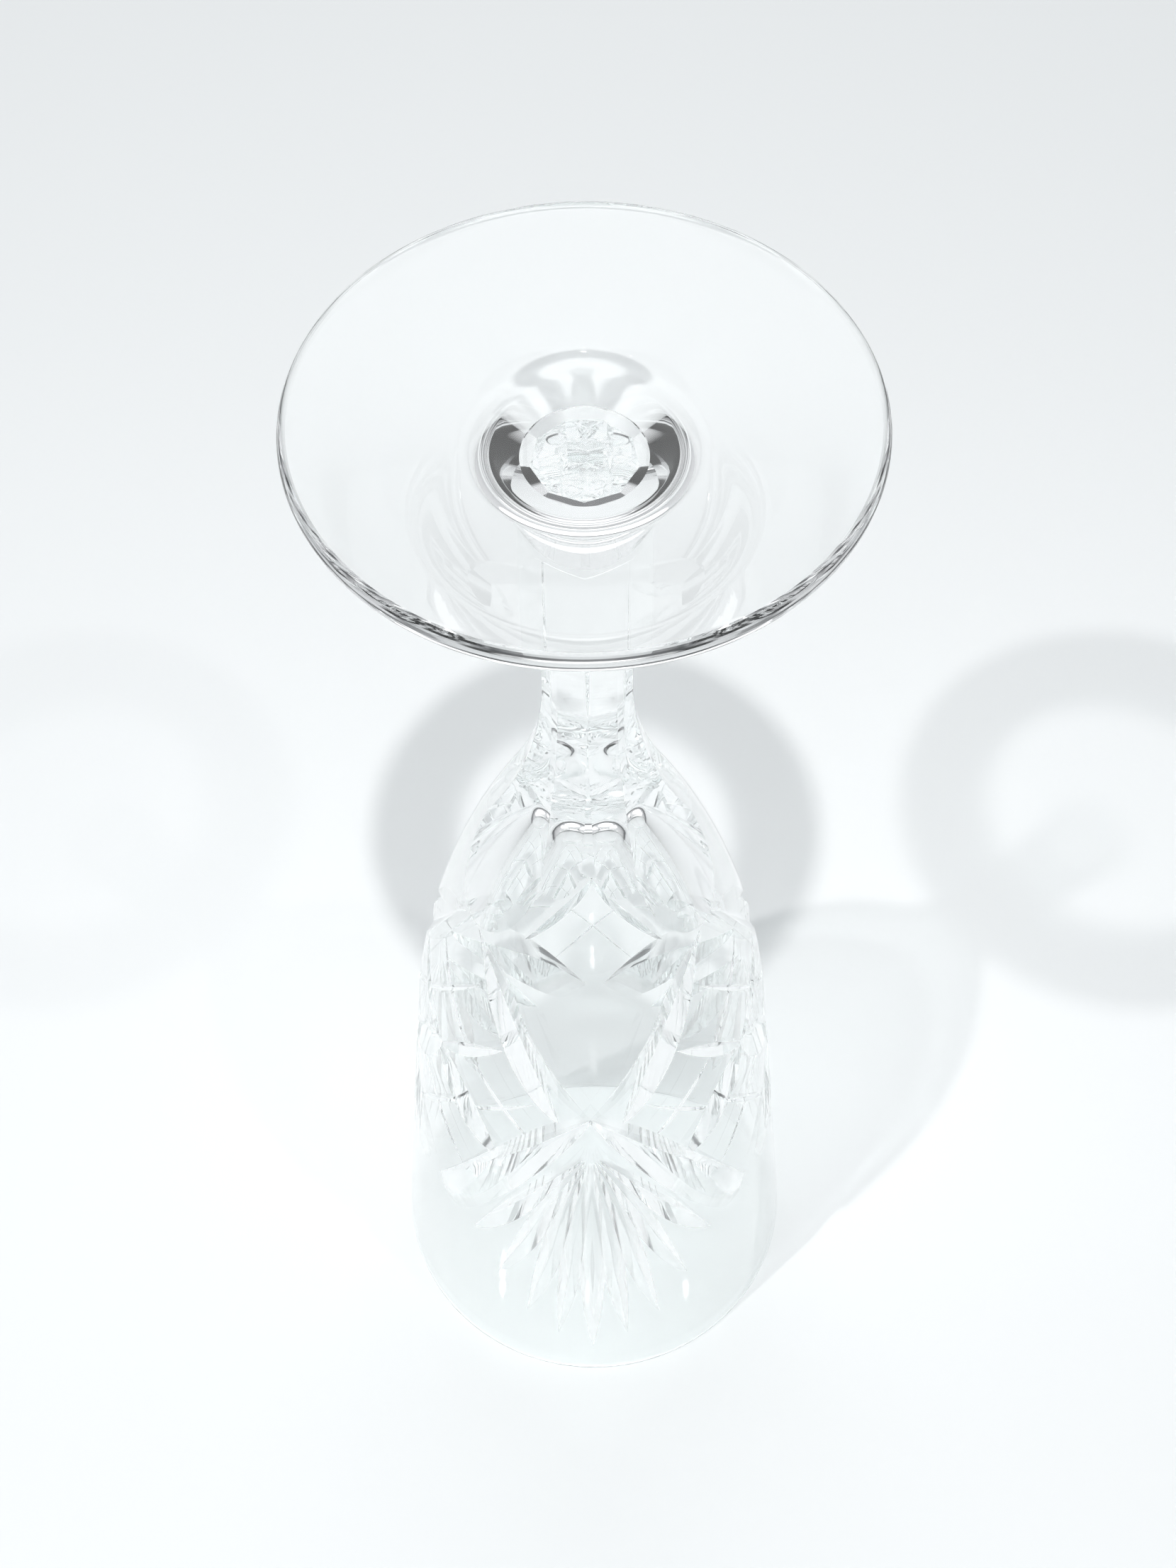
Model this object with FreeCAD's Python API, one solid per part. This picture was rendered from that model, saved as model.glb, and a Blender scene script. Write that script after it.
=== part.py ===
import FreeCAD, Part
import math
import os

# Cut-crystal champagne flute, upright: the foot rests on z = 0 and the rim is up.
# Origin at the middle of the foot's underside, +Z along the axis, -Y the face of
# one of the three cut panels.  All lengths are millimetres, all angles degrees.

# overall
total_height = 195.0
foot_radius = 31.0
foot_joint_height = 12.2
bowl_joint_height = 58.0

# foot: flat underside, rounded edge, low cone, fillet and a steep flank under the stem
edge_thickness = 2.6
edge_round = 1.0
hub_fillet = 8.0
flank_angle = 47.0
flank_outer_radius = 9.4

# stem: slim waist, swelling gently to the foot and faster to the bowl
waist_height = 45.0
waist_radius = 5.4
lower_sweep = 399.1
flare_sweep = 60.0

# flat facets ground along the stem and over the base of the bowl
facet_count = 9
facet_step = 360.0 / facet_count
facet_low_height = 13.4
facet_lower_sweep = 1800.0
short_facet_sweep = 61.0
long_facet_sweep = 77.0
facet_half_width = 8.2

# bowl outside: flare, belly and straight wall, each tangent to the next
belly_sweep = 165.0
flare_angle = 24.5
wall_angle = 4.9

# bowl inside
hollow_floor_height = 73.0
hollow_floor_sweep = 4.2
hollow_side_sweep = 127.5
hollow_floor_angle = 32.0
hollow_wall_angle = 5.8
rim_round = 1.0

# cut decoration, repeated round the bowl
panel_count = 3
panel_step = 360.0 / panel_count
cut_clearance = 1.4

# each cut: azimuth and height of both ends, depth, and the slope away from the
# groove line on its two sides; every cut here has a mirror twin across the panel
mirrored_cuts = [
    # broad lower arm of the large cross
    (-1.5, 114.6, 57.0, 152.5, 1.7, 62.0, 70.0),
    # broad upper arm, ending short of the crossing
    (10.0, 117.0, 51.0, 88.0, 1.5, 68.0, 56.0),
    # slim upper arm, straight through the crossing
    (-2.0, 116.5, 55.0, 87.0, 0.75, 60.0, 60.0),
    # leaf-shaped arms of the small cross in the hatched diamond
    (31.0, 131.5, 61.5, 114.5, 1.45, 64.0, 68.0),
    (31.5, 104.5, 61.5, 116.0, 0.7, 60.0, 60.0),
    # fine hatching, one line each way in every small diamond
    (19.0, 123.0, 44.0, 110.5, 0.3, 55.0, 55.0),
    (19.0, 113.5, 46.0, 124.0, 0.3, 55.0, 55.0),
    (45.0, 141.5, 75.0, 122.5, 0.3, 55.0, 55.0),
    (46.0, 95.5, 75.0, 110.0, 0.3, 55.0, 55.0),
    # rays of the fan, outermost first
    (2.4, 125.6, 40.0, 158.0, 0.95, 64.0, 64.0),
    (1.8, 125.9, 30.5, 168.0, 0.95, 64.0, 64.0),
    (1.2, 126.2, 20.5, 177.0, 0.95, 64.0, 64.0),
    (0.6, 126.4, 10.5, 182.0, 0.95, 64.0, 64.0),
]
middle_cut = (0.0, 126.5, 0.0, 186.0, 1.05, 64.0, 64.0)


def vector(x, y, z):
    return FreeCAD.Vector(x, y, z)


def profile_point(radius, height):
    return vector(radius, 0.0, height)


def sine(angle):
    return math.sin(math.radians(angle))


def cosine(angle):
    return math.cos(math.radians(angle))


# tangent points of the bowl's outside
flare_end_height = waist_height + flare_sweep * sine(flare_angle)
flare_end_radius = waist_radius + flare_sweep * (1.0 - cosine(flare_angle))
belly_end_height = flare_end_height + belly_sweep * (sine(flare_angle) - sine(wall_angle))
belly_end_radius = flare_end_radius + belly_sweep * (cosine(wall_angle) - cosine(flare_angle))
wall_slope = math.tan(math.radians(wall_angle))
rim_radius = belly_end_radius + (total_height - belly_end_height) * wall_slope

# tangent points of the hollow
floor_end_radius = hollow_floor_sweep * cosine(hollow_floor_angle)
floor_end_height = hollow_floor_height + hollow_floor_sweep * (1.0 - sine(hollow_floor_angle))
side_end_height = floor_end_height + hollow_side_sweep * (
    sine(hollow_floor_angle) - sine(hollow_wall_angle))
side_end_radius = floor_end_radius + hollow_side_sweep * (
    cosine(hollow_wall_angle) - cosine(hollow_floor_angle))
hollow_slope = math.tan(math.radians(hollow_wall_angle))
hollow_rim_radius = side_end_radius + (total_height - side_end_height) * hollow_slope


def sweep_radius(height, sweep, base_radius):
    """Radius of an arc that stands upright at the waist and curves outward."""
    rise = height - waist_height
    return base_radius + sweep - math.sqrt(sweep * sweep - rise * rise)


def outside_radius(height):
    """Radius of the glass at this height before any cutting."""
    if height < waist_height:
        return sweep_radius(height, lower_sweep, waist_radius)
    if height < flare_end_height:
        return sweep_radius(height, flare_sweep, waist_radius)
    if height < belly_end_height:
        lean = sine(flare_angle) - (height - flare_end_height) / belly_sweep
        return flare_end_radius + belly_sweep * (math.sqrt(1.0 - lean * lean) - cosine(flare_angle))
    return belly_end_radius + (height - belly_end_height) * wall_slope


def arc_through(first, middle_radius, middle_height, last):
    middle = profile_point(middle_radius, middle_height)
    return Part.Arc(first, middle, last).toShape()


def revolve(edges):
    face = Part.Face(Part.Wire(edges))
    return face.revolve(vector(0, 0, 0), vector(0, 0, 1), 360.0)


def facet_tool(azimuth, upper_sweep):
    """Everything outside one ground facet, from above the hub to the base of the bowl."""
    flat = waist_radius * cosine(facet_step / 2.0)
    top = 96.0
    low = facet_low_height
    far = 42.0
    waist = profile_point(flat, waist_height)
    low_end = profile_point(sweep_radius(low, facet_lower_sweep, flat), low)
    top_end = profile_point(sweep_radius(top, upper_sweep, flat), top)
    run_out = profile_point(low_end.x + 2.4, low - 1.7)
    low_middle = (low + waist_height) / 2.0
    top_middle = (top + waist_height) / 2.0
    edges = [
        arc_through(low_end, sweep_radius(low_middle, facet_lower_sweep, flat), low_middle, waist),
        arc_through(waist, sweep_radius(top_middle, upper_sweep, flat), top_middle, top_end),
        Part.makeLine(top_end, profile_point(far, top)),
        Part.makeLine(profile_point(far, top), profile_point(far, run_out.z)),
        Part.makeLine(profile_point(far, run_out.z), run_out),
        Part.makeLine(run_out, low_end),
    ]
    face = Part.Face(Part.Wire(edges))
    face.translate(vector(0, -facet_half_width, 0))
    tool = face.extrude(vector(0, 2.0 * facet_half_width, 0))
    tool.rotate(vector(0, 0, 0), vector(0, 0, 1), azimuth - 90.0)
    return tool


def facet_tools():
    """Nine facets; every third one, between two panels, runs further up the bowl."""
    tools = []
    for index in range(facet_count):
        azimuth = facet_step * (index + 0.5)
        between_panels = index % 3 == 1
        sweep = long_facet_sweep if between_panels else short_facet_sweep
        tools.append(facet_tool(azimuth, sweep))
    return tools


def surface_point(azimuth, height):
    radius = outside_radius(height)
    return vector(radius * sine(azimuth), -radius * cosine(azimuth), height)


def surface_normal(azimuth, height):
    slope = outside_radius(height + 0.05) - outside_radius(height - 0.05)
    normal = vector(0.1 * sine(azimuth), -0.1 * cosine(azimuth), -slope)
    return normal.normalize()


def mitre_tool(cut, turn, mirror):
    """V-edged grinding path: full depth half way along, running out at both ends."""
    first_azimuth, first_height, last_azimuth, last_height, depth, near_slope, far_slope = cut
    first_azimuth = turn + mirror * first_azimuth
    last_azimuth = turn + mirror * last_azimuth
    first = surface_point(first_azimuth, first_height)
    last = surface_point(last_azimuth, last_height)
    middle_azimuth = (first_azimuth + last_azimuth) / 2.0
    middle_height = (first_height + last_height) / 2.0
    along = (last - first).normalize()
    out = surface_normal(middle_azimuth, middle_height)
    out = (out - along * out.dot(along)).normalize()
    across = along.cross(out) * mirror
    chord_middle = (first + last) * 0.5
    half_chord = (last - first).Length / 2.0
    bulge = (surface_point(middle_azimuth, middle_height) - chord_middle).dot(out) - depth
    path_radius = (half_chord * half_chord + bulge * bulge) / (2.0 * bulge)
    floor = chord_middle + out * bulge
    center = floor - out * path_radius
    reach = depth + cut_clearance
    near = floor + out * reach + across * (reach * math.tan(math.radians(near_slope)))
    far = floor + out * reach - across * (reach * math.tan(math.radians(far_slope)))
    half_turn = math.degrees(math.asin(half_chord / abs(path_radius))) + 1.0
    wedge = Part.Face(Part.makePolygon([floor, near, far, floor]))
    wedge.rotate(center, across, -half_turn)
    return wedge.revolve(center, across, 2.0 * half_turn)


def decoration_tools():
    tools = []
    for panel in range(panel_count):
        turn = panel * panel_step
        tools.append(mitre_tool(middle_cut, turn, 1.0))
        for cut in mirrored_cuts:
            tools.append(mitre_tool(cut, turn, 1.0))
            tools.append(mitre_tool(cut, turn, -1.0))
    return tools


def make_foot():
    edge_middle = edge_thickness / 2.0
    joint_radius = outside_radius(foot_joint_height)
    bottom_edge = profile_point(foot_radius - edge_round, 0.0)
    top_edge = profile_point(foot_radius - edge_round, edge_thickness)
    hub_end = profile_point(joint_radius, foot_joint_height)
    # a fillet tangent to the flank and to the cone that runs out to the edge
    flank_drop = (flank_outer_radius - joint_radius) * math.tan(math.radians(flank_angle))
    flank_end = profile_point(flank_outer_radius, foot_joint_height - flank_drop)
    center_radius = flank_end.x + hub_fillet * sine(flank_angle)
    center_height = flank_end.z + hub_fillet * cosine(flank_angle)
    across = top_edge.x - center_radius
    rise = center_height - edge_thickness
    span = math.hypot(across, rise)
    cone_lean = math.degrees(math.atan2(rise, across) - math.asin(hub_fillet / span))
    cone_end = profile_point(center_radius - hub_fillet * sine(cone_lean),
                             center_height - hub_fillet * cosine(cone_lean))
    middle_lean = (cone_lean + flank_angle) / 2.0
    edges = [
        Part.makeLine(profile_point(0.0, 0.0), bottom_edge),
        arc_through(bottom_edge, foot_radius, edge_middle, top_edge),
        Part.makeLine(top_edge, cone_end),
        arc_through(cone_end, center_radius - hub_fillet * sine(middle_lean),
                    center_height - hub_fillet * cosine(middle_lean), flank_end),
        Part.makeLine(flank_end, hub_end),
        Part.makeLine(hub_end, profile_point(0.0, foot_joint_height)),
        Part.makeLine(profile_point(0.0, foot_joint_height), profile_point(0.0, 0.0)),
    ]
    return revolve(edges)


def make_stem():
    low_end = profile_point(outside_radius(foot_joint_height), foot_joint_height)
    waist = profile_point(waist_radius, waist_height)
    top_end = profile_point(outside_radius(bowl_joint_height), bowl_joint_height)
    low_middle = (foot_joint_height + waist_height) / 2.0
    top_middle = (bowl_joint_height + waist_height) / 2.0
    edges = [
        Part.makeLine(profile_point(0.0, foot_joint_height), low_end),
        arc_through(low_end, outside_radius(low_middle), low_middle, waist),
        arc_through(waist, outside_radius(top_middle), top_middle, top_end),
        Part.makeLine(top_end, profile_point(0.0, bowl_joint_height)),
        Part.makeLine(profile_point(0.0, bowl_joint_height), profile_point(0.0, foot_joint_height)),
    ]
    return revolve(edges).cut(facet_tools())


def make_bowl():
    low_end = profile_point(outside_radius(bowl_joint_height), bowl_joint_height)
    flare_end = profile_point(flare_end_radius, flare_end_height)
    belly_end = profile_point(belly_end_radius, belly_end_height)
    outer_top = profile_point(rim_radius - rim_round * wall_slope, total_height - rim_round)
    inner_top = profile_point(hollow_rim_radius - rim_round * hollow_slope, total_height - rim_round)
    side_end = profile_point(side_end_radius, side_end_height)
    floor_end = profile_point(floor_end_radius, floor_end_height)
    floor = profile_point(0.0, hollow_floor_height)
    flare_middle = (bowl_joint_height + flare_end_height) / 2.0
    belly_middle = (flare_end_height + belly_end_height) / 2.0
    side_lean = (hollow_floor_angle + hollow_wall_angle) / 2.0
    side_center_radius = floor_end_radius - hollow_side_sweep * cosine(hollow_floor_angle)
    side_center_height = floor_end_height + hollow_side_sweep * sine(hollow_floor_angle)
    floor_lean = (90.0 + hollow_floor_angle) / 2.0
    edges = [
        Part.makeLine(profile_point(0.0, bowl_joint_height), low_end),
        arc_through(low_end, outside_radius(flare_middle), flare_middle, flare_end),
        arc_through(flare_end, outside_radius(belly_middle), belly_middle, belly_end),
        Part.makeLine(belly_end, outer_top),
        arc_through(outer_top, (rim_radius + hollow_rim_radius) / 2.0, total_height, inner_top),
        Part.makeLine(inner_top, side_end),
        arc_through(side_end, side_center_radius + hollow_side_sweep * cosine(side_lean),
                    side_center_height - hollow_side_sweep * sine(side_lean), floor_end),
        arc_through(floor_end, hollow_floor_sweep * cosine(floor_lean),
                    hollow_floor_height + hollow_floor_sweep * (1.0 - sine(floor_lean)), floor),
        Part.makeLine(floor, profile_point(0.0, bowl_joint_height)),
    ]
    bowl = revolve(edges).cut(facet_tools())
    for tool in decoration_tools():
        bowl = bowl.cut(tool)
    return bowl


def save(shape, name):
    if shape.ShapeType != "Solid":
        shape = shape.Solids[0]
    shape.exportStep(os.path.join("parts", name + ".step"))


os.makedirs("parts", exist_ok=True)
save(make_foot(), "foot")
save(make_stem(), "stem")
save(make_bowl(), "bowl")
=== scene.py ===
import bmesh
import bpy
import math
from mathutils import Matrix, Vector


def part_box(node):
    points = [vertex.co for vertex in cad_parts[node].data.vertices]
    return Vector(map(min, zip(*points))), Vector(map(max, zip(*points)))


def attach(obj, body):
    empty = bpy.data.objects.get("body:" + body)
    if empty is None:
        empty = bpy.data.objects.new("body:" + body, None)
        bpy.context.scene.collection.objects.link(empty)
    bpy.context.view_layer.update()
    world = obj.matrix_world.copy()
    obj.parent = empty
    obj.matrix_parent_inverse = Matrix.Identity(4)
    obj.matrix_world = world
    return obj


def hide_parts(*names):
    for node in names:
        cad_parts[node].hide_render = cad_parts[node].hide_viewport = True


# Cut-crystal champagne flute, upright in its own frame: foot on z = 0, rim up, -Y facing the
# middle of one cut panel. It is looked at from below the foot, as when it stands on its rim.

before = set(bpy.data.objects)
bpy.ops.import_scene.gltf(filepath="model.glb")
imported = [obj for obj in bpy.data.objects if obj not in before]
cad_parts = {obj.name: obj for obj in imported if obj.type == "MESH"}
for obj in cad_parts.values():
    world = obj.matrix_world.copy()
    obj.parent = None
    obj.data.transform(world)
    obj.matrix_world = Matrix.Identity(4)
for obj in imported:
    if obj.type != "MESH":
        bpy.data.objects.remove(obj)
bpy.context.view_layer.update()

mm = 0.001
axisUp = Vector((0.0, 0.0, 1.0))
middle = Vector((0.0, 0.0, 0.0))

footLow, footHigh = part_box("foot")
stemLow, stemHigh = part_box("stem")
bowlLow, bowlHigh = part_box("bowl")
rimHeight = bowlHigh.z
footJoint = footHigh.z
bowlJoint = bowlLow.z

# outside of the glass, foot to rim: upright at the waist, then tangent arcs and a straight wall
glassShape = dict(
    waistHeight=45.0 * mm,
    waistRadius=5.4 * mm,
    lowerSweep=399.1 * mm,
    flareSweep=60.0 * mm,
    bellySweep=165.0 * mm,
    flareLean=math.radians(24.5),
    wallLean=math.radians(4.9),
)


def outsideRadius(height):
    g = glassShape
    rise = height - g["waistHeight"]
    if rise < 0.0:
        return g["waistRadius"] + g["lowerSweep"] - math.sqrt(g["lowerSweep"] ** 2 - rise ** 2)
    flareTop = g["flareSweep"] * math.sin(g["flareLean"])
    if rise < flareTop:
        return g["waistRadius"] + g["flareSweep"] - math.sqrt(g["flareSweep"] ** 2 - rise ** 2)
    flareRadius = g["waistRadius"] + g["flareSweep"] * (1.0 - math.cos(g["flareLean"]))
    lean = math.sin(g["flareLean"]) - (rise - flareTop) / g["bellySweep"]
    if lean > math.sin(g["wallLean"]):
        return flareRadius + g["bellySweep"] * (math.sqrt(1.0 - lean * lean) - math.cos(g["flareLean"]))
    bellyTop = flareTop + g["bellySweep"] * (math.sin(g["flareLean"]) - math.sin(g["wallLean"]))
    bellyRadius = flareRadius + g["bellySweep"] * (math.cos(g["wallLean"]) - math.cos(g["flareLean"]))
    return bellyRadius + (rise - bellyTop) * math.tan(g["wallLean"])


def arcPoints(center, radius, startAngle, endAngle, steps):
    # (radius, height) points round an arc, both ends included
    points = []
    for i in range(steps + 1):
        angle = math.radians(startAngle + (endAngle - startAngle) * i / steps)
        points.append((center[0] + radius * math.cos(angle), center[1] + radius * math.sin(angle)))
    return points


def spinProfile(points, steps):
    # turns an open outline that starts and ends on the axis into a closed round solid
    bm = bmesh.new()
    verts = [bm.verts.new((r, 0.0, z)) for r, z in points]
    edges = [bm.edges.new(pair) for pair in zip(verts, verts[1:])]
    bmesh.ops.spin(bm, geom=verts + edges, cent=middle, axis=axisUp, angle=math.tau,
                   steps=steps, use_merge=True)
    bmesh.ops.remove_doubles(bm, verts=bm.verts, dist=0.002 * mm)
    bmesh.ops.recalc_face_normals(bm, faces=bm.faces)
    return bm


def meshObject(name, bm, materials):
    mesh = bpy.data.meshes.new(name)
    bm.to_mesh(mesh)
    bm.free()
    for material in materials:
        mesh.materials.append(material)
    piece = bpy.data.objects.new(name, mesh)
    bpy.context.scene.collection.objects.link(piece)
    return piece


def grind(piece, cutters):
    # takes every cutter away from the piece, one after another, and leaves a plain mesh
    for cutter in cutters:
        tool = meshObject("tool", cutter, [])
        modifier = piece.modifiers.new("grind", "BOOLEAN")
        modifier.operation = "DIFFERENCE"
        modifier.solver = "MANIFOLD"
        modifier.object = tool
        graph = bpy.context.evaluated_depsgraph_get()
        result = bpy.data.meshes.new_from_object(piece.evaluated_get(graph))
        piece.modifiers.clear()
        old = piece.data
        piece.data = result
        bpy.data.meshes.remove(old)
        toolMesh = tool.data
        bpy.data.objects.remove(tool)
        bpy.data.meshes.remove(toolMesh)


def finishGlass(piece, node, jointHeights, crease=7.0):
    # marks the ground edges sharp, gives fused faces the clear joint material, names the piece
    mesh = piece.data
    mesh.name = piece.name
    bm = bmesh.new()
    bm.from_mesh(mesh)
    bmesh.ops.remove_doubles(bm, verts=bm.verts, dist=0.001 * mm)
    for face in bm.faces:
        face.smooth = True
        flat = abs(face.normal.z) > 0.999
        height = face.calc_center_median().z
        fused = flat and any(abs(height - joint) < 0.02 * mm for joint in jointHeights)
        face.material_index = 1 if fused else 0
    for edge in bm.edges:
        edge.smooth = len(edge.link_faces) == 2 and edge.calc_face_angle(0.0) < math.radians(crease)
    bm.to_mesh(mesh)
    openEdges = sum(1 for edge in bm.edges if len(edge.link_faces) != 2)
    bm.free()
    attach(piece, "root")
    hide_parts(node)
    print(piece.name, "faces", len(mesh.polygons), "open edges", openEdges)


crystalLook = dict(
    tint=(0.992, 1.0, 0.998, 1.0),
    bendsLight=1.545,
    polish=0.0,
    waveScale=55.0,
    hazeScale=90.0,
    hazeFrom=(0.45, 0.8),
    hazeRoughness=0.035,
    edgeOnBlend=0.35,
    # colours given to lamp light passing through the glass, which set its shadows; shadowRing is the
    # painted ring shadow under the foot
    shadowClear=(0.84, 0.86, 0.86, 1.0),
    shadowEdge=(0.30, 0.33, 0.325, 1.0),
    shadowRing=(0.20, 0.23, 0.24, 1.0),
)


def crystal(name, waveDepth, paintedShadowRadii=None):
    look = crystalLook
    material = bpy.data.materials.new(name)
    material.use_nodes = True
    nodes, links = material.node_tree.nodes, material.node_tree.links
    nodes.clear()
    out = nodes.new("ShaderNodeOutputMaterial")
    glass = nodes.new("ShaderNodeBsdfPrincipled")
    glass.inputs["Base Color"].default_value = look["tint"]
    glass.inputs["Transmission Weight"].default_value = 1.0
    glass.inputs["IOR"].default_value = look["bendsLight"]
    place = nodes.new("ShaderNodeTexCoord")
    # fire-polished and hand-polished glass is never quite flat: long, very shallow waves
    waves = nodes.new("ShaderNodeTexNoise")
    waves.inputs["Scale"].default_value = look["waveScale"]
    waves.inputs["Detail"].default_value = 1.0
    links.new(place.outputs["Object"], waves.inputs["Vector"])
    bump = nodes.new("ShaderNodeBump")
    bump.inputs["Strength"].default_value = 1.0
    bump.inputs["Distance"].default_value = waveDepth
    links.new(waves.outputs["Fac"], bump.inputs["Height"])
    links.new(bump.outputs["Normal"], glass.inputs["Normal"])
    # faint wiping haze in patches
    haze = nodes.new("ShaderNodeTexNoise")
    haze.inputs["Scale"].default_value = look["hazeScale"]
    haze.inputs["Detail"].default_value = 3.0
    links.new(place.outputs["Object"], haze.inputs["Vector"])
    hazeRange = nodes.new("ShaderNodeMapRange")
    hazeRange.inputs["From Min"].default_value = look["hazeFrom"][0]
    hazeRange.inputs["From Max"].default_value = look["hazeFrom"][1]
    hazeRange.inputs["To Min"].default_value = look["polish"]
    hazeRange.inputs["To Max"].default_value = look["polish"] + look["hazeRoughness"]
    links.new(haze.outputs["Fac"], hazeRange.inputs["Value"])
    links.new(hazeRange.outputs["Result"], glass.inputs["Roughness"])
    # clear glass lets lamp light through, and darkens it only where it is seen edge on
    facing = nodes.new("ShaderNodeLayerWeight")
    facing.inputs["Blend"].default_value = look["edgeOnBlend"]
    shade = nodes.new("ShaderNodeMix")
    shade.data_type = "RGBA"
    shade.inputs["A"].default_value = look["shadowClear"]
    shade.inputs["B"].default_value = look["shadowEdge"]
    links.new(facing.outputs["Facing"], shade.inputs["Factor"])
    through = nodes.new("ShaderNodeBsdfTransparent")
    lamplight = shade.outputs["Result"]
    if paintedShadowRadii:
        # painted ring shadow: a set shadow colour beyond this radius stands in for lamp light that the
        # foot bends away
        flatten = nodes.new("ShaderNodeVectorMath")
        flatten.operation = "MULTIPLY"
        flatten.inputs[1].default_value = (1.0, 1.0, 0.0)
        links.new(place.outputs["Object"], flatten.inputs[0])
        radial = nodes.new("ShaderNodeVectorMath")
        radial.operation = "LENGTH"
        links.new(flatten.outputs["Vector"], radial.inputs[0])
        ring = nodes.new("ShaderNodeMapRange")
        ring.inputs["From Min"].default_value = paintedShadowRadii[0]
        ring.inputs["From Max"].default_value = paintedShadowRadii[1]
        links.new(radial.outputs["Value"], ring.inputs["Value"])
        bent = nodes.new("ShaderNodeMix")
        bent.data_type = "RGBA"
        bent.inputs["A"].default_value = (1.0, 1.0, 1.0, 1.0)
        bent.inputs["B"].default_value = look["shadowRing"]
        links.new(ring.outputs["Result"], bent.inputs["Factor"])
        lamplight = bent.outputs["Result"]
    links.new(lamplight, through.inputs["Color"])
    path = nodes.new("ShaderNodeLightPath")
    mix = nodes.new("ShaderNodeMixShader")
    links.new(path.outputs["Is Shadow Ray"], mix.inputs["Fac"])
    links.new(glass.outputs["BSDF"], mix.inputs[1])
    links.new(through.outputs["BSDF"], mix.inputs[2])
    links.new(mix.outputs["Shader"], out.inputs["Surface"])
    return material


def fusedJoint():
    # inside a fused joint there is no surface, so the two touching faces are fully clear
    material = bpy.data.materials.new("fusedJoint")
    material.use_nodes = True
    nodes, links = material.node_tree.nodes, material.node_tree.links
    nodes.clear()
    out = nodes.new("ShaderNodeOutputMaterial")
    clear = nodes.new("ShaderNodeBsdfTransparent")
    links.new(clear.outputs["BSDF"], out.inputs["Surface"])
    return material


bowlCrystal = crystal("bowlCrystal", 0.012 * mm)
stemCrystal = crystal("stemCrystal", 0.006 * mm)
# the foot's glass throws a painted ring shadow beyond 18 to 20.5 mm from its axis
footCrystal = crystal("footCrystal", 0.015 * mm, (18.0 * mm, 20.5 * mm))
jointClear = fusedJoint()
print("glass finishes made")


# flat facets ground along the stem and over the base of the bowl
facets = dict(
    count=9,
    lowerSweep=1800.0 * mm,
    shortSweep=61.0 * mm,
    longSweep=77.0 * mm,
    halfWidth=8.2 * mm,
    top=96.0 * mm,
    far=42.0 * mm,
    low=13.4 * mm,
    runOutWidth=2.4 * mm,
    runOutDrop=1.7 * mm,
    arcSteps=40,
)


def facetCutter(azimuth, upperSweep):
    # everything outside one facet: an outline in the radius-height plane, drawn out sideways
    f = facets
    waist = glassShape["waistHeight"]
    flat = glassShape["waistRadius"] * math.cos(math.pi / f["count"])
    lowAngle = math.degrees(math.asin((waist - f["low"]) / f["lowerSweep"]))
    topAngle = math.degrees(math.asin((f["top"] - waist) / upperSweep))
    lowArc = arcPoints((flat + f["lowerSweep"], waist), f["lowerSweep"], 180.0 + lowAngle, 180.0, 8)
    topArc = arcPoints((flat + upperSweep, waist), upperSweep, 180.0, 180.0 - topAngle, f["arcSteps"])
    runOut = (lowArc[0][0] + f["runOutWidth"], f["low"] - f["runOutDrop"])
    outline = [runOut] + lowArc + topArc[1:] + [(f["far"], f["top"]), (f["far"], runOut[1])]
    bm = bmesh.new()
    face = bm.faces.new([bm.verts.new((r, -f["halfWidth"], z)) for r, z in outline])
    drawn = bmesh.ops.extrude_face_region(bm, geom=[face])
    moved = [item for item in drawn["geom"] if isinstance(item, bmesh.types.BMVert)]
    bmesh.ops.translate(bm, verts=moved, vec=(0.0, 2.0 * f["halfWidth"], 0.0))
    bmesh.ops.recalc_face_normals(bm, faces=bm.faces)
    turn = Matrix.Rotation(math.radians(azimuth - 90.0), 3, "Z")
    bmesh.ops.rotate(bm, verts=bm.verts, cent=middle, matrix=turn)
    return bm


def thirds(cutter):
    # the same cutter three times round the axis, in one mesh
    copies = []
    for turn in (1, 2):
        copy = cutter.copy()
        matrix = Matrix.Rotation(turn * math.tau / 3.0, 3, "Z")
        bmesh.ops.rotate(copy, verts=copy.verts, cent=middle, matrix=matrix)
        copies.append(copy)
    joined = bpy.data.meshes.new("thirds")
    for copy in copies:
        copy.to_mesh(joined)
        cutter.from_mesh(joined)
        copy.free()
    bpy.data.meshes.remove(joined)
    return cutter


def facetCutters():
    # nine facets in threes; the middle one of each three, between two panels, runs further up
    step = 360.0 / facets["count"]
    sweeps = (facets["shortSweep"], facets["longSweep"], facets["shortSweep"])
    return [thirds(facetCutter(step * (i + 0.5), sweep)) for i, sweep in enumerate(sweeps)]


footShape = dict(
    radius=footHigh.x,
    edgeThickness=2.6 * mm,
    edgeRound=1.0 * mm,
    flankLean=math.radians(47.0),
    flankOuterRadius=9.4 * mm,
    hubFillet=8.0 * mm,
    steps=288,
)


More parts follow.
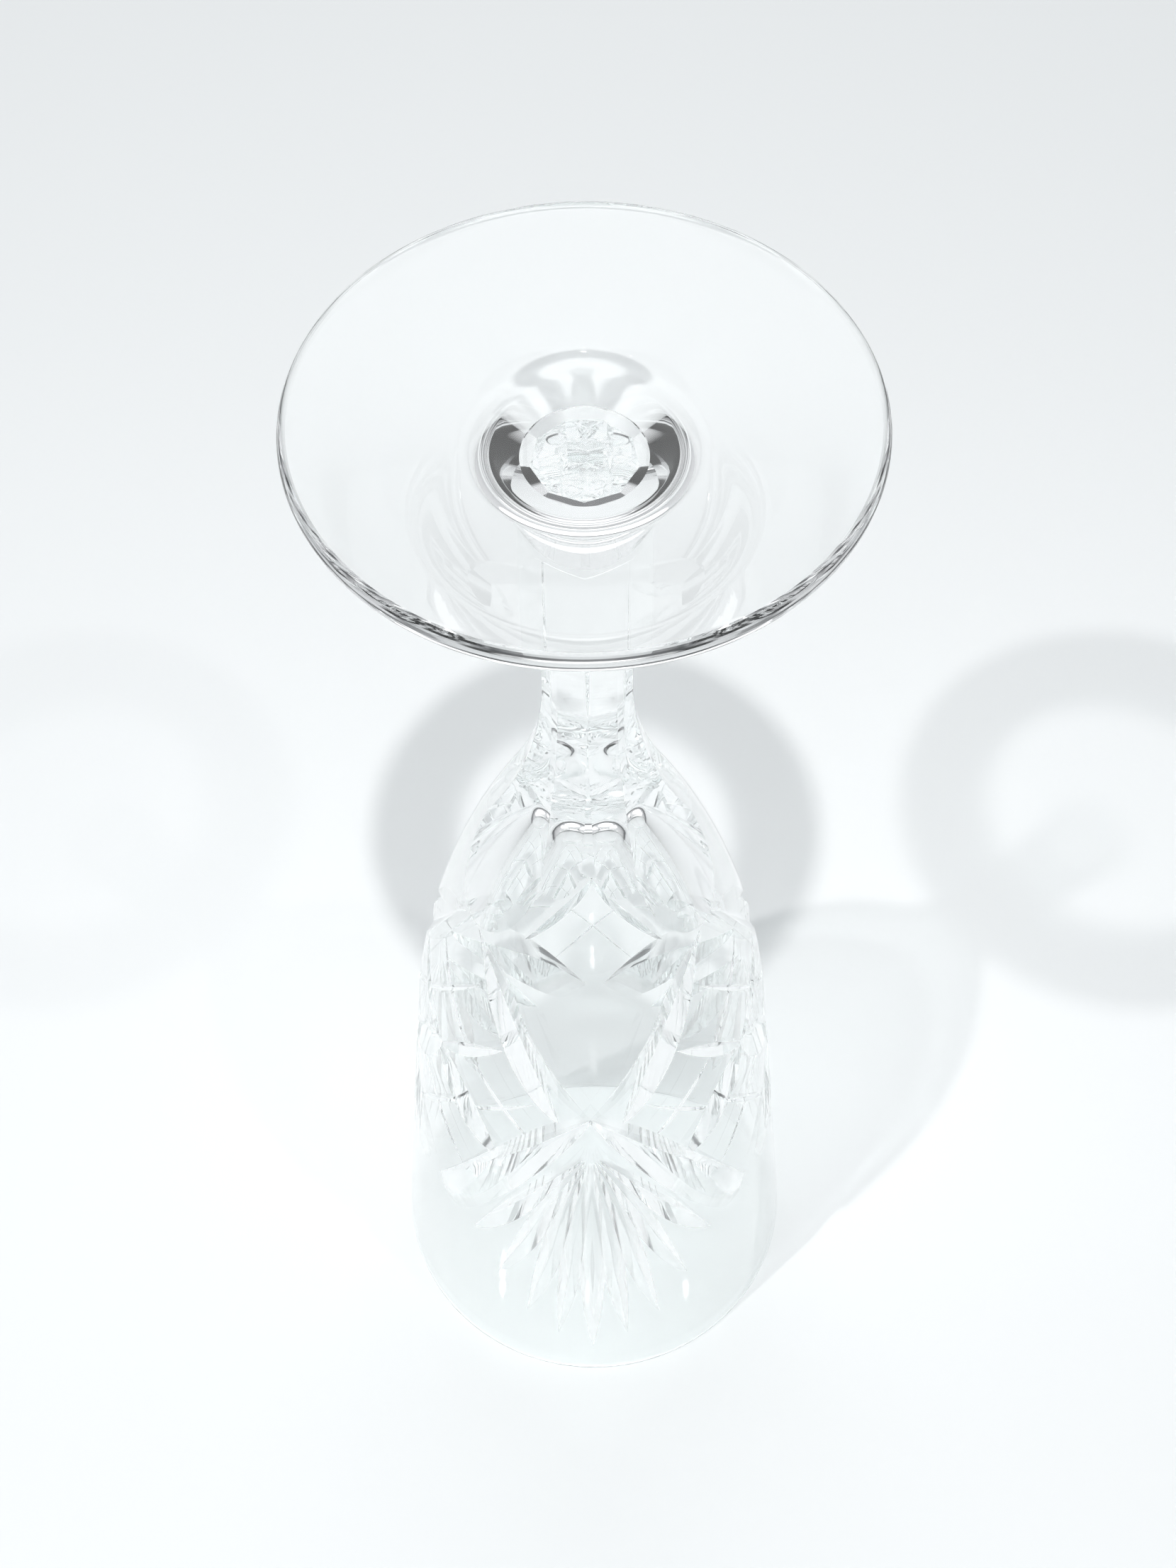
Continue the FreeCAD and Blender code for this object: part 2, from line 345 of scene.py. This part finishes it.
def makeFoot():
    f = footShape
    jointRadius = outsideRadius(footJoint)
    flatRadius = f["radius"] - f["edgeRound"]
    halfEdge = f["edgeThickness"] / 2.0
    edgeRadius = (halfEdge ** 2 + f["edgeRound"] ** 2) / (2.0 * f["edgeRound"])
    edgeAngle = math.degrees(math.asin(halfEdge / edgeRadius))
    edge = arcPoints((f["radius"] - edgeRadius, halfEdge), edgeRadius, -edgeAngle, edgeAngle, 16)
    # hub: a steep flank under the stem, then a fillet tangent to it and to the low cone
    flankEnd = (f["flankOuterRadius"],
                footJoint - (f["flankOuterRadius"] - jointRadius) * math.tan(f["flankLean"]))
    filletCenter = (flankEnd[0] + f["hubFillet"] * math.sin(f["flankLean"]),
                    flankEnd[1] + f["hubFillet"] * math.cos(f["flankLean"]))
    toCenter = (flatRadius - filletCenter[0], filletCenter[1] - f["edgeThickness"])
    span = math.hypot(toCenter[0], toCenter[1])
    coneLean = math.atan2(toCenter[1], toCenter[0]) - math.asin(f["hubFillet"] / span)
    coneLength = math.sqrt(span ** 2 - f["hubFillet"] ** 2)
    cone = [(flatRadius - coneLength * i / 12.0 * math.cos(coneLean),
             f["edgeThickness"] + coneLength * i / 12.0 * math.sin(coneLean)) for i in range(1, 12)]
    fillet = arcPoints(filletCenter, f["hubFillet"], 270.0 - math.degrees(coneLean),
                       270.0 - math.degrees(f["flankLean"]), 20)
    flank = [(flankEnd[0] + (jointRadius - flankEnd[0]) * i / 6.0,
              flankEnd[1] + (footJoint - flankEnd[1]) * i / 6.0) for i in range(1, 7)]
    under = [(flatRadius * i / 6.0, 0.0) for i in range(6)]
    top = [(jointRadius * i / 3.0, footJoint) for i in (2, 1, 0)]
    bm = spinProfile(under + edge + cone + fillet + flank + top, f["steps"])
    piece = meshObject("footDisc", bm, [footCrystal, jointClear])
    finishGlass(piece, "foot", [footJoint])
    return piece


stemShape = dict(
    rows=46,
    steps=288,
)


def makeStem():
    rows = stemShape["rows"]
    heights = [footJoint + (bowlJoint - footJoint) * i / rows for i in range(rows + 1)]
    side = [(outsideRadius(z), z) for z in heights]
    bm = spinProfile([(0.0, footJoint)] + side + [(0.0, bowlJoint)], stemShape["steps"])
    piece = meshObject("facetedStem", bm, [stemCrystal, jointClear])
    grind(piece, facetCutters())
    finishGlass(piece, "stem", [footJoint, bowlJoint])
    return piece


bowlShape = dict(
    floorHeight=73.0 * mm,
    floorSweep=4.2 * mm,
    floorLean=32.0,
    sideSweep=127.5 * mm,
    wallLean=5.8,
    rimRound=1.0 * mm,
    rowHeight=1.25 * mm,
    steps=320,
)

# cut panel: every cut has its mirror twin, and the panel comes three times round the bowl
cutPanel = dict(
    clearance=1.4 * mm,
    degreesPerStep=0.5,
)

# (name, first azimuth, first height, last azimuth, last height, depth, slopes each side)
panelCuts = [
    ("lowerArm", -1.5, 114.6, 57.0, 152.5, 1.7, 62.0, 70.0),
    ("broadArm", 10.0, 117.0, 51.0, 88.0, 1.5, 68.0, 56.0),
    ("slimArm", -2.0, 116.5, 55.0, 87.0, 0.75, 60.0, 60.0),
    ("smallCrossLeaf", 31.0, 131.5, 61.5, 114.5, 1.45, 64.0, 68.0),
    ("smallCrossLine", 31.5, 104.5, 61.5, 116.0, 0.7, 60.0, 60.0),
    ("hatchSideDown", 19.0, 123.0, 44.0, 110.5, 0.3, 55.0, 55.0),
    ("hatchSideUp", 19.0, 113.5, 46.0, 124.0, 0.3, 55.0, 55.0),
    ("hatchHigh", 45.0, 141.5, 75.0, 122.5, 0.3, 55.0, 55.0),
    ("hatchLow", 46.0, 95.5, 75.0, 110.0, 0.3, 55.0, 55.0),
    ("ray", 2.4, 125.6, 40.0, 158.0, 0.95, 64.0, 64.0),
    ("ray", 1.8, 125.9, 30.5, 168.0, 0.95, 64.0, 64.0),
    ("ray", 1.2, 126.2, 20.5, 177.0, 0.95, 64.0, 64.0),
    ("ray", 0.6, 126.4, 10.5, 182.0, 0.95, 64.0, 64.0),
]
middleRay = ("ray", 0.0, 126.5, 0.0, 186.0, 1.05, 64.0, 64.0)


def surfacePoint(azimuth, height):
    radius = outsideRadius(height)
    angle = math.radians(azimuth)
    return Vector((radius * math.sin(angle), -radius * math.cos(angle), height))


def surfaceNormal(azimuth, height):
    slope = (outsideRadius(height + 0.05 * mm) - outsideRadius(height - 0.05 * mm)) / (0.1 * mm)
    angle = math.radians(azimuth)
    return Vector((math.sin(angle), -math.cos(angle), -slope)).normalized()


def mitreCutter(cut, mirror):
    # V-edged grinding path: a wedge spun about the centre of the arc that its floor follows
    firstAzimuth, firstHeight = mirror * cut[1], cut[2] * mm
    lastAzimuth, lastHeight = mirror * cut[3], cut[4] * mm
    depth = cut[5] * mm
    first = surfacePoint(firstAzimuth, firstHeight)
    last = surfacePoint(lastAzimuth, lastHeight)
    midAzimuth, midHeight = (firstAzimuth + lastAzimuth) / 2.0, (firstHeight + lastHeight) / 2.0
    along = (last - first).normalized()
    out = surfaceNormal(midAzimuth, midHeight)
    out = (out - along * out.dot(along)).normalized()
    across = along.cross(out) * mirror
    chordMiddle = (first + last) / 2.0
    halfChord = (last - first).length / 2.0
    bulge = (surfacePoint(midAzimuth, midHeight) - chordMiddle).dot(out) - depth
    pathRadius = (halfChord ** 2 + bulge ** 2) / (2.0 * bulge)
    floor = chordMiddle + out * bulge
    center = floor - out * pathRadius
    reach = depth + cutPanel["clearance"]
    near = floor + out * reach + across * (reach * math.tan(math.radians(cut[6])))
    far = floor + out * reach - across * (reach * math.tan(math.radians(cut[7])))
    halfTurn = math.asin(halfChord / abs(pathRadius)) + math.radians(1.0)
    bm = bmesh.new()
    wedge = bm.faces.new([bm.verts.new(corner) for corner in (floor, near, far)])
    startTurn = Matrix.Rotation(-halfTurn, 3, across)
    bmesh.ops.rotate(bm, verts=bm.verts, cent=center, matrix=startTurn)
    steps = max(8, round(math.degrees(2.0 * halfTurn) / cutPanel["degreesPerStep"]))
    bmesh.ops.spin(bm, geom=[wedge] + list(wedge.verts) + list(wedge.edges), cent=center,
                   axis=across, angle=2.0 * halfTurn, steps=steps)
    bmesh.ops.recalc_face_normals(bm, faces=bm.faces)
    return bm


def decorationCutters():
    cutters = [mitreCutter(middleRay, 1.0)]
    for cut in panelCuts:
        cutters.append(mitreCutter(cut, 1.0))
        cutters.append(mitreCutter(cut, -1.0))
    return [thirds(cutter) for cutter in cutters]


def bowlOutline():
    b = bowlShape
    rows = round((rimHeight - b["rimRound"] - bowlJoint) / b["rowHeight"])
    heights = [bowlJoint + (rimHeight - b["rimRound"] - bowlJoint) * i / rows for i in range(rows + 1)]
    outside = [(outsideRadius(z), z) for z in heights]
    floorCenter = (0.0, b["floorHeight"] + b["floorSweep"])
    floor = arcPoints(floorCenter, b["floorSweep"], -b["floorLean"], -90.0, 16)
    lean = math.radians(b["floorLean"])
    sideCenter = (floor[0][0] - b["sideSweep"] * math.cos(lean),
                  floor[0][1] + b["sideSweep"] * math.sin(lean))
    side = arcPoints(sideCenter, b["sideSweep"], -b["wallLean"], -b["floorLean"], 26)
    slope = math.tan(math.radians(b["wallLean"]))
    innerTop = (side[0][0] + (rimHeight - b["rimRound"] - side[0][1]) * slope, rimHeight - b["rimRound"])
    outerTop = outside[-1]
    # rounded rim: an arc through both wall tops and the highest point between them
    halfWall = (outerTop[0] - innerTop[0]) / 2.0
    rimSweep = (halfWall ** 2 + b["rimRound"] ** 2) / (2.0 * b["rimRound"])
    rimAngle = math.degrees(math.asin(min(1.0, halfWall / rimSweep)))
    rimCenter = (innerTop[0] + halfWall, rimHeight - rimSweep)
    rim = arcPoints(rimCenter, rimSweep, 90.0 - rimAngle, 90.0 + rimAngle, 14)
    wallRows = 24
    inside = [(innerTop[0] + (side[0][0] - innerTop[0]) * i / wallRows,
               innerTop[1] + (side[0][1] - innerTop[1]) * i / wallRows) for i in range(1, wallRows)]
    base = [(0.0, bowlJoint), (outside[0][0] / 2.0, bowlJoint)]
    return base + outside + rim[1:] + inside + side + floor[1:]


def makeBowl():
    bm = spinProfile(bowlOutline(), bowlShape["steps"])
    piece = meshObject("cutBowl", bm, [bowlCrystal, jointClear])
    grind(piece, facetCutters() + decorationCutters())
    finishGlass(piece, "bowl", [bowlJoint])
    return piece


makeFoot()
print("foot made")
makeStem()
print("stem made")
makeBowl()
print("bowl made")


# a pale cloth at the rim and a pale floor under the foot, each seen from one side only
stage = dict(
    size=2.4,
    cloth=(0.79, 0.81, 0.815, 1.0),
    clothHeight=rimHeight + 0.02 * mm,
    floorHeight=footLow.z - 0.02 * mm,
)


def oneSidedPaper(name, color):
    material = bpy.data.materials.new(name)
    material.use_nodes = True
    nodes, links = material.node_tree.nodes, material.node_tree.links
    nodes.clear()
    out = nodes.new("ShaderNodeOutputMaterial")
    paper = nodes.new("ShaderNodeBsdfDiffuse")
    paper.inputs["Color"].default_value = color
    clear = nodes.new("ShaderNodeBsdfTransparent")
    side = nodes.new("ShaderNodeNewGeometry")
    mix = nodes.new("ShaderNodeMixShader")
    links.new(side.outputs["Backfacing"], mix.inputs["Fac"])
    links.new(paper.outputs["BSDF"], mix.inputs[1])
    links.new(clear.outputs["BSDF"], mix.inputs[2])
    links.new(mix.outputs["Shader"], out.inputs["Surface"])
    return material


def sheetAt(name, height, faceDown, material):
    bm = bmesh.new()
    bmesh.ops.create_grid(bm, x_segments=1, y_segments=1, size=stage["size"] / 2.0)
    if faceDown:
        bmesh.ops.reverse_faces(bm, faces=bm.faces)
    bmesh.ops.translate(bm, verts=bm.verts, vec=(0.0, 0.0, height))
    sheet = meshObject(name, bm, [material])
    sheet.visible_shadow = False
    return sheet


paleCloth = oneSidedPaper("paleCloth", stage["cloth"])
cloth = sheetAt("cloth", stage["clothHeight"], True, paleCloth)
floorSheet = sheetAt("floorSheet", stage["floorHeight"], False, paleCloth)
for unseen in ("visible_diffuse", "visible_glossy", "visible_transmission"):
    setattr(floorSheet, unseen, False)


lamps = dict(
    reach=740.0 * mm,
    places=[(0.0, -0.208), (0.28, -0.217), (-0.28, -0.217)],
    power=[2.3, 1.5, 0.38],
    width=0.016,
)

backFill = dict(
    place=Vector((0.0, 1.0, rimHeight - 0.8)),
    target=Vector((0.0, 0.6, rimHeight)),
    power=3.4,
    width=1.2,
)


def addLamp(name, place, target, power, width):
    data = bpy.data.lights.new(name, "AREA")
    data.shape = "DISK"
    data.size = width
    data.energy = power
    lamp = bpy.data.objects.new(name, data)
    lamp.location = place
    lamp.rotation_mode = "QUATERNION"
    lamp.rotation_quaternion = (target - place).to_track_quat("-Z", "Y")
    bpy.context.scene.collection.objects.link(lamp)
    return lamp


for index, (x, y) in enumerate(lamps["places"]):
    power = lamps["power"][index]
    addLamp("lowLamp%d" % index, Vector((x, y, rimHeight - lamps["reach"])),
            Vector((0.0, 0.0, rimHeight)), power, lamps["width"])
    addLamp("highLamp%d" % index, Vector((x, y, lamps["reach"])), middle, power, lamps["width"])


addLamp("backFill", backFill["place"], backFill["target"], backFill["power"], backFill["width"])

room = dict(
    horizon=(0.06, 0.065, 0.07, 1.0),
    shoulder=(0.66, 0.67, 0.69, 1.0),
    shoulderAt=0.28,
    ceiling=(0.92, 0.94, 0.96, 1.0),
    ceilingAt=0.7,
    flagPlace=(0.70, -0.30, -0.64),
    flagReach=(0.46, 0.56),
    flagStrength=0.01,
    strength=0.78,
    backdrop=(0.86, 0.88, 0.89, 1.0),
    bounces=40,
)


def paleRoom():
    # brighter towards the ceiling and the table, darker round the horizon
    world = bpy.data.worlds.new("paleRoom")
    world.use_nodes = True
    nodes, links = world.node_tree.nodes, world.node_tree.links
    nodes.clear()
    out = nodes.new("ShaderNodeOutputWorld")
    back = nodes.new("ShaderNodeBackground")
    place = nodes.new("ShaderNodeTexCoord")
    split = nodes.new("ShaderNodeSeparateXYZ")
    links.new(place.outputs["Generated"], split.inputs["Vector"])
    steep = nodes.new("ShaderNodeMath")
    steep.operation = "ABSOLUTE"
    links.new(split.outputs["Z"], steep.inputs[0])
    ramp = nodes.new("ShaderNodeValToRGB")
    ramp.color_ramp.elements[0].position = 0.0
    ramp.color_ramp.elements[0].color = room["horizon"]
    ramp.color_ramp.elements[1].position = room["ceilingAt"]
    ramp.color_ramp.elements[1].color = room["ceiling"]
    middleStop = ramp.color_ramp.elements.new(room["shoulderAt"])
    middleStop.color = room["shoulder"]
    links.new(steep.outputs["Value"], ramp.inputs["Fac"])
    links.new(ramp.outputs["Color"], back.inputs["Color"])
    # two dark flags, left and right below the foot, draw the dark edges in the glass
    sides = nodes.new("ShaderNodeMath")
    sides.operation = "ABSOLUTE"
    links.new(split.outputs["X"], sides.inputs[0])
    folded = nodes.new("ShaderNodeCombineXYZ")
    links.new(sides.outputs["Value"], folded.inputs["X"])
    links.new(split.outputs["Y"], folded.inputs["Y"])
    links.new(split.outputs["Z"], folded.inputs["Z"])
    toFlag = nodes.new("ShaderNodeVectorMath")
    toFlag.operation = "DISTANCE"
    toFlag.inputs[1].default_value = room["flagPlace"]
    links.new(folded.outputs["Vector"], toFlag.inputs[0])
    flag = nodes.new("ShaderNodeMapRange")
    flag.inputs["From Min"].default_value = room["flagReach"][0]
    flag.inputs["From Max"].default_value = room["flagReach"][1]
    flag.inputs["To Min"].default_value = room["flagStrength"]
    flag.inputs["To Max"].default_value = room["strength"]
    links.new(toFlag.outputs["Value"], flag.inputs["Value"])
    links.new(flag.outputs["Result"], back.inputs["Strength"])
    # seen directly, the room is a plain pale backdrop
    seen = nodes.new("ShaderNodeLightPath")
    backdrop = nodes.new("ShaderNodeBackground")
    backdrop.inputs["Color"].default_value = room["backdrop"]
    mix = nodes.new("ShaderNodeMixShader")
    links.new(seen.outputs["Is Camera Ray"], mix.inputs["Fac"])
    links.new(back.outputs["Background"], mix.inputs[1])
    links.new(backdrop.outputs["Background"], mix.inputs[2])
    links.new(mix.outputs["Shader"], out.inputs["Surface"])
    bpy.context.scene.world = world
    bpy.context.scene.view_settings.view_transform = "Standard"
    # light runs many times round inside thick glass before it leaves
    paths = bpy.context.scene.cycles
    paths.max_bounces = room["bounces"]
    paths.transmission_bounces = room["bounces"]
    paths.glossy_bounces = room["bounces"]
    paths.transparent_max_bounces = room["bounces"]


paleRoom()
print("stage and light made")


# looks up at the underside of the foot, as down on a glass standing on its rim
cameraPlace = dict(
    lens=53.7,
    sensor=36.0,
    side=2.5 * mm,
    turnLeft=math.radians(0.51),
    front=159.9 * mm,
    aboveRim=371.1 * mm,
    pitch=math.radians(56.8),
)


def addCamera():
    c = cameraPlace
    data = bpy.data.cameras.new("camera")
    data.lens = c["lens"]
    data.sensor_width = c["sensor"]
    camera = bpy.data.objects.new("camera", data)
    right = Vector((-1.0, 0.0, 0.0))
    forward = Vector((0.0, math.cos(c["pitch"]), math.sin(c["pitch"])))
    up = right.cross(forward)
    turned = Matrix.Rotation(c["turnLeft"], 3, up)
    right, forward = turned @ right, turned @ forward
    turn = Matrix((right, up, -forward)).transposed()
    place = Vector((-c["side"], -c["front"], rimHeight - c["aboveRim"]))
    camera.matrix_world = Matrix.Translation(place) @ turn.to_4x4()
    bpy.context.scene.collection.objects.link(camera)
    bpy.context.scene.camera = camera
    return camera


addCamera()
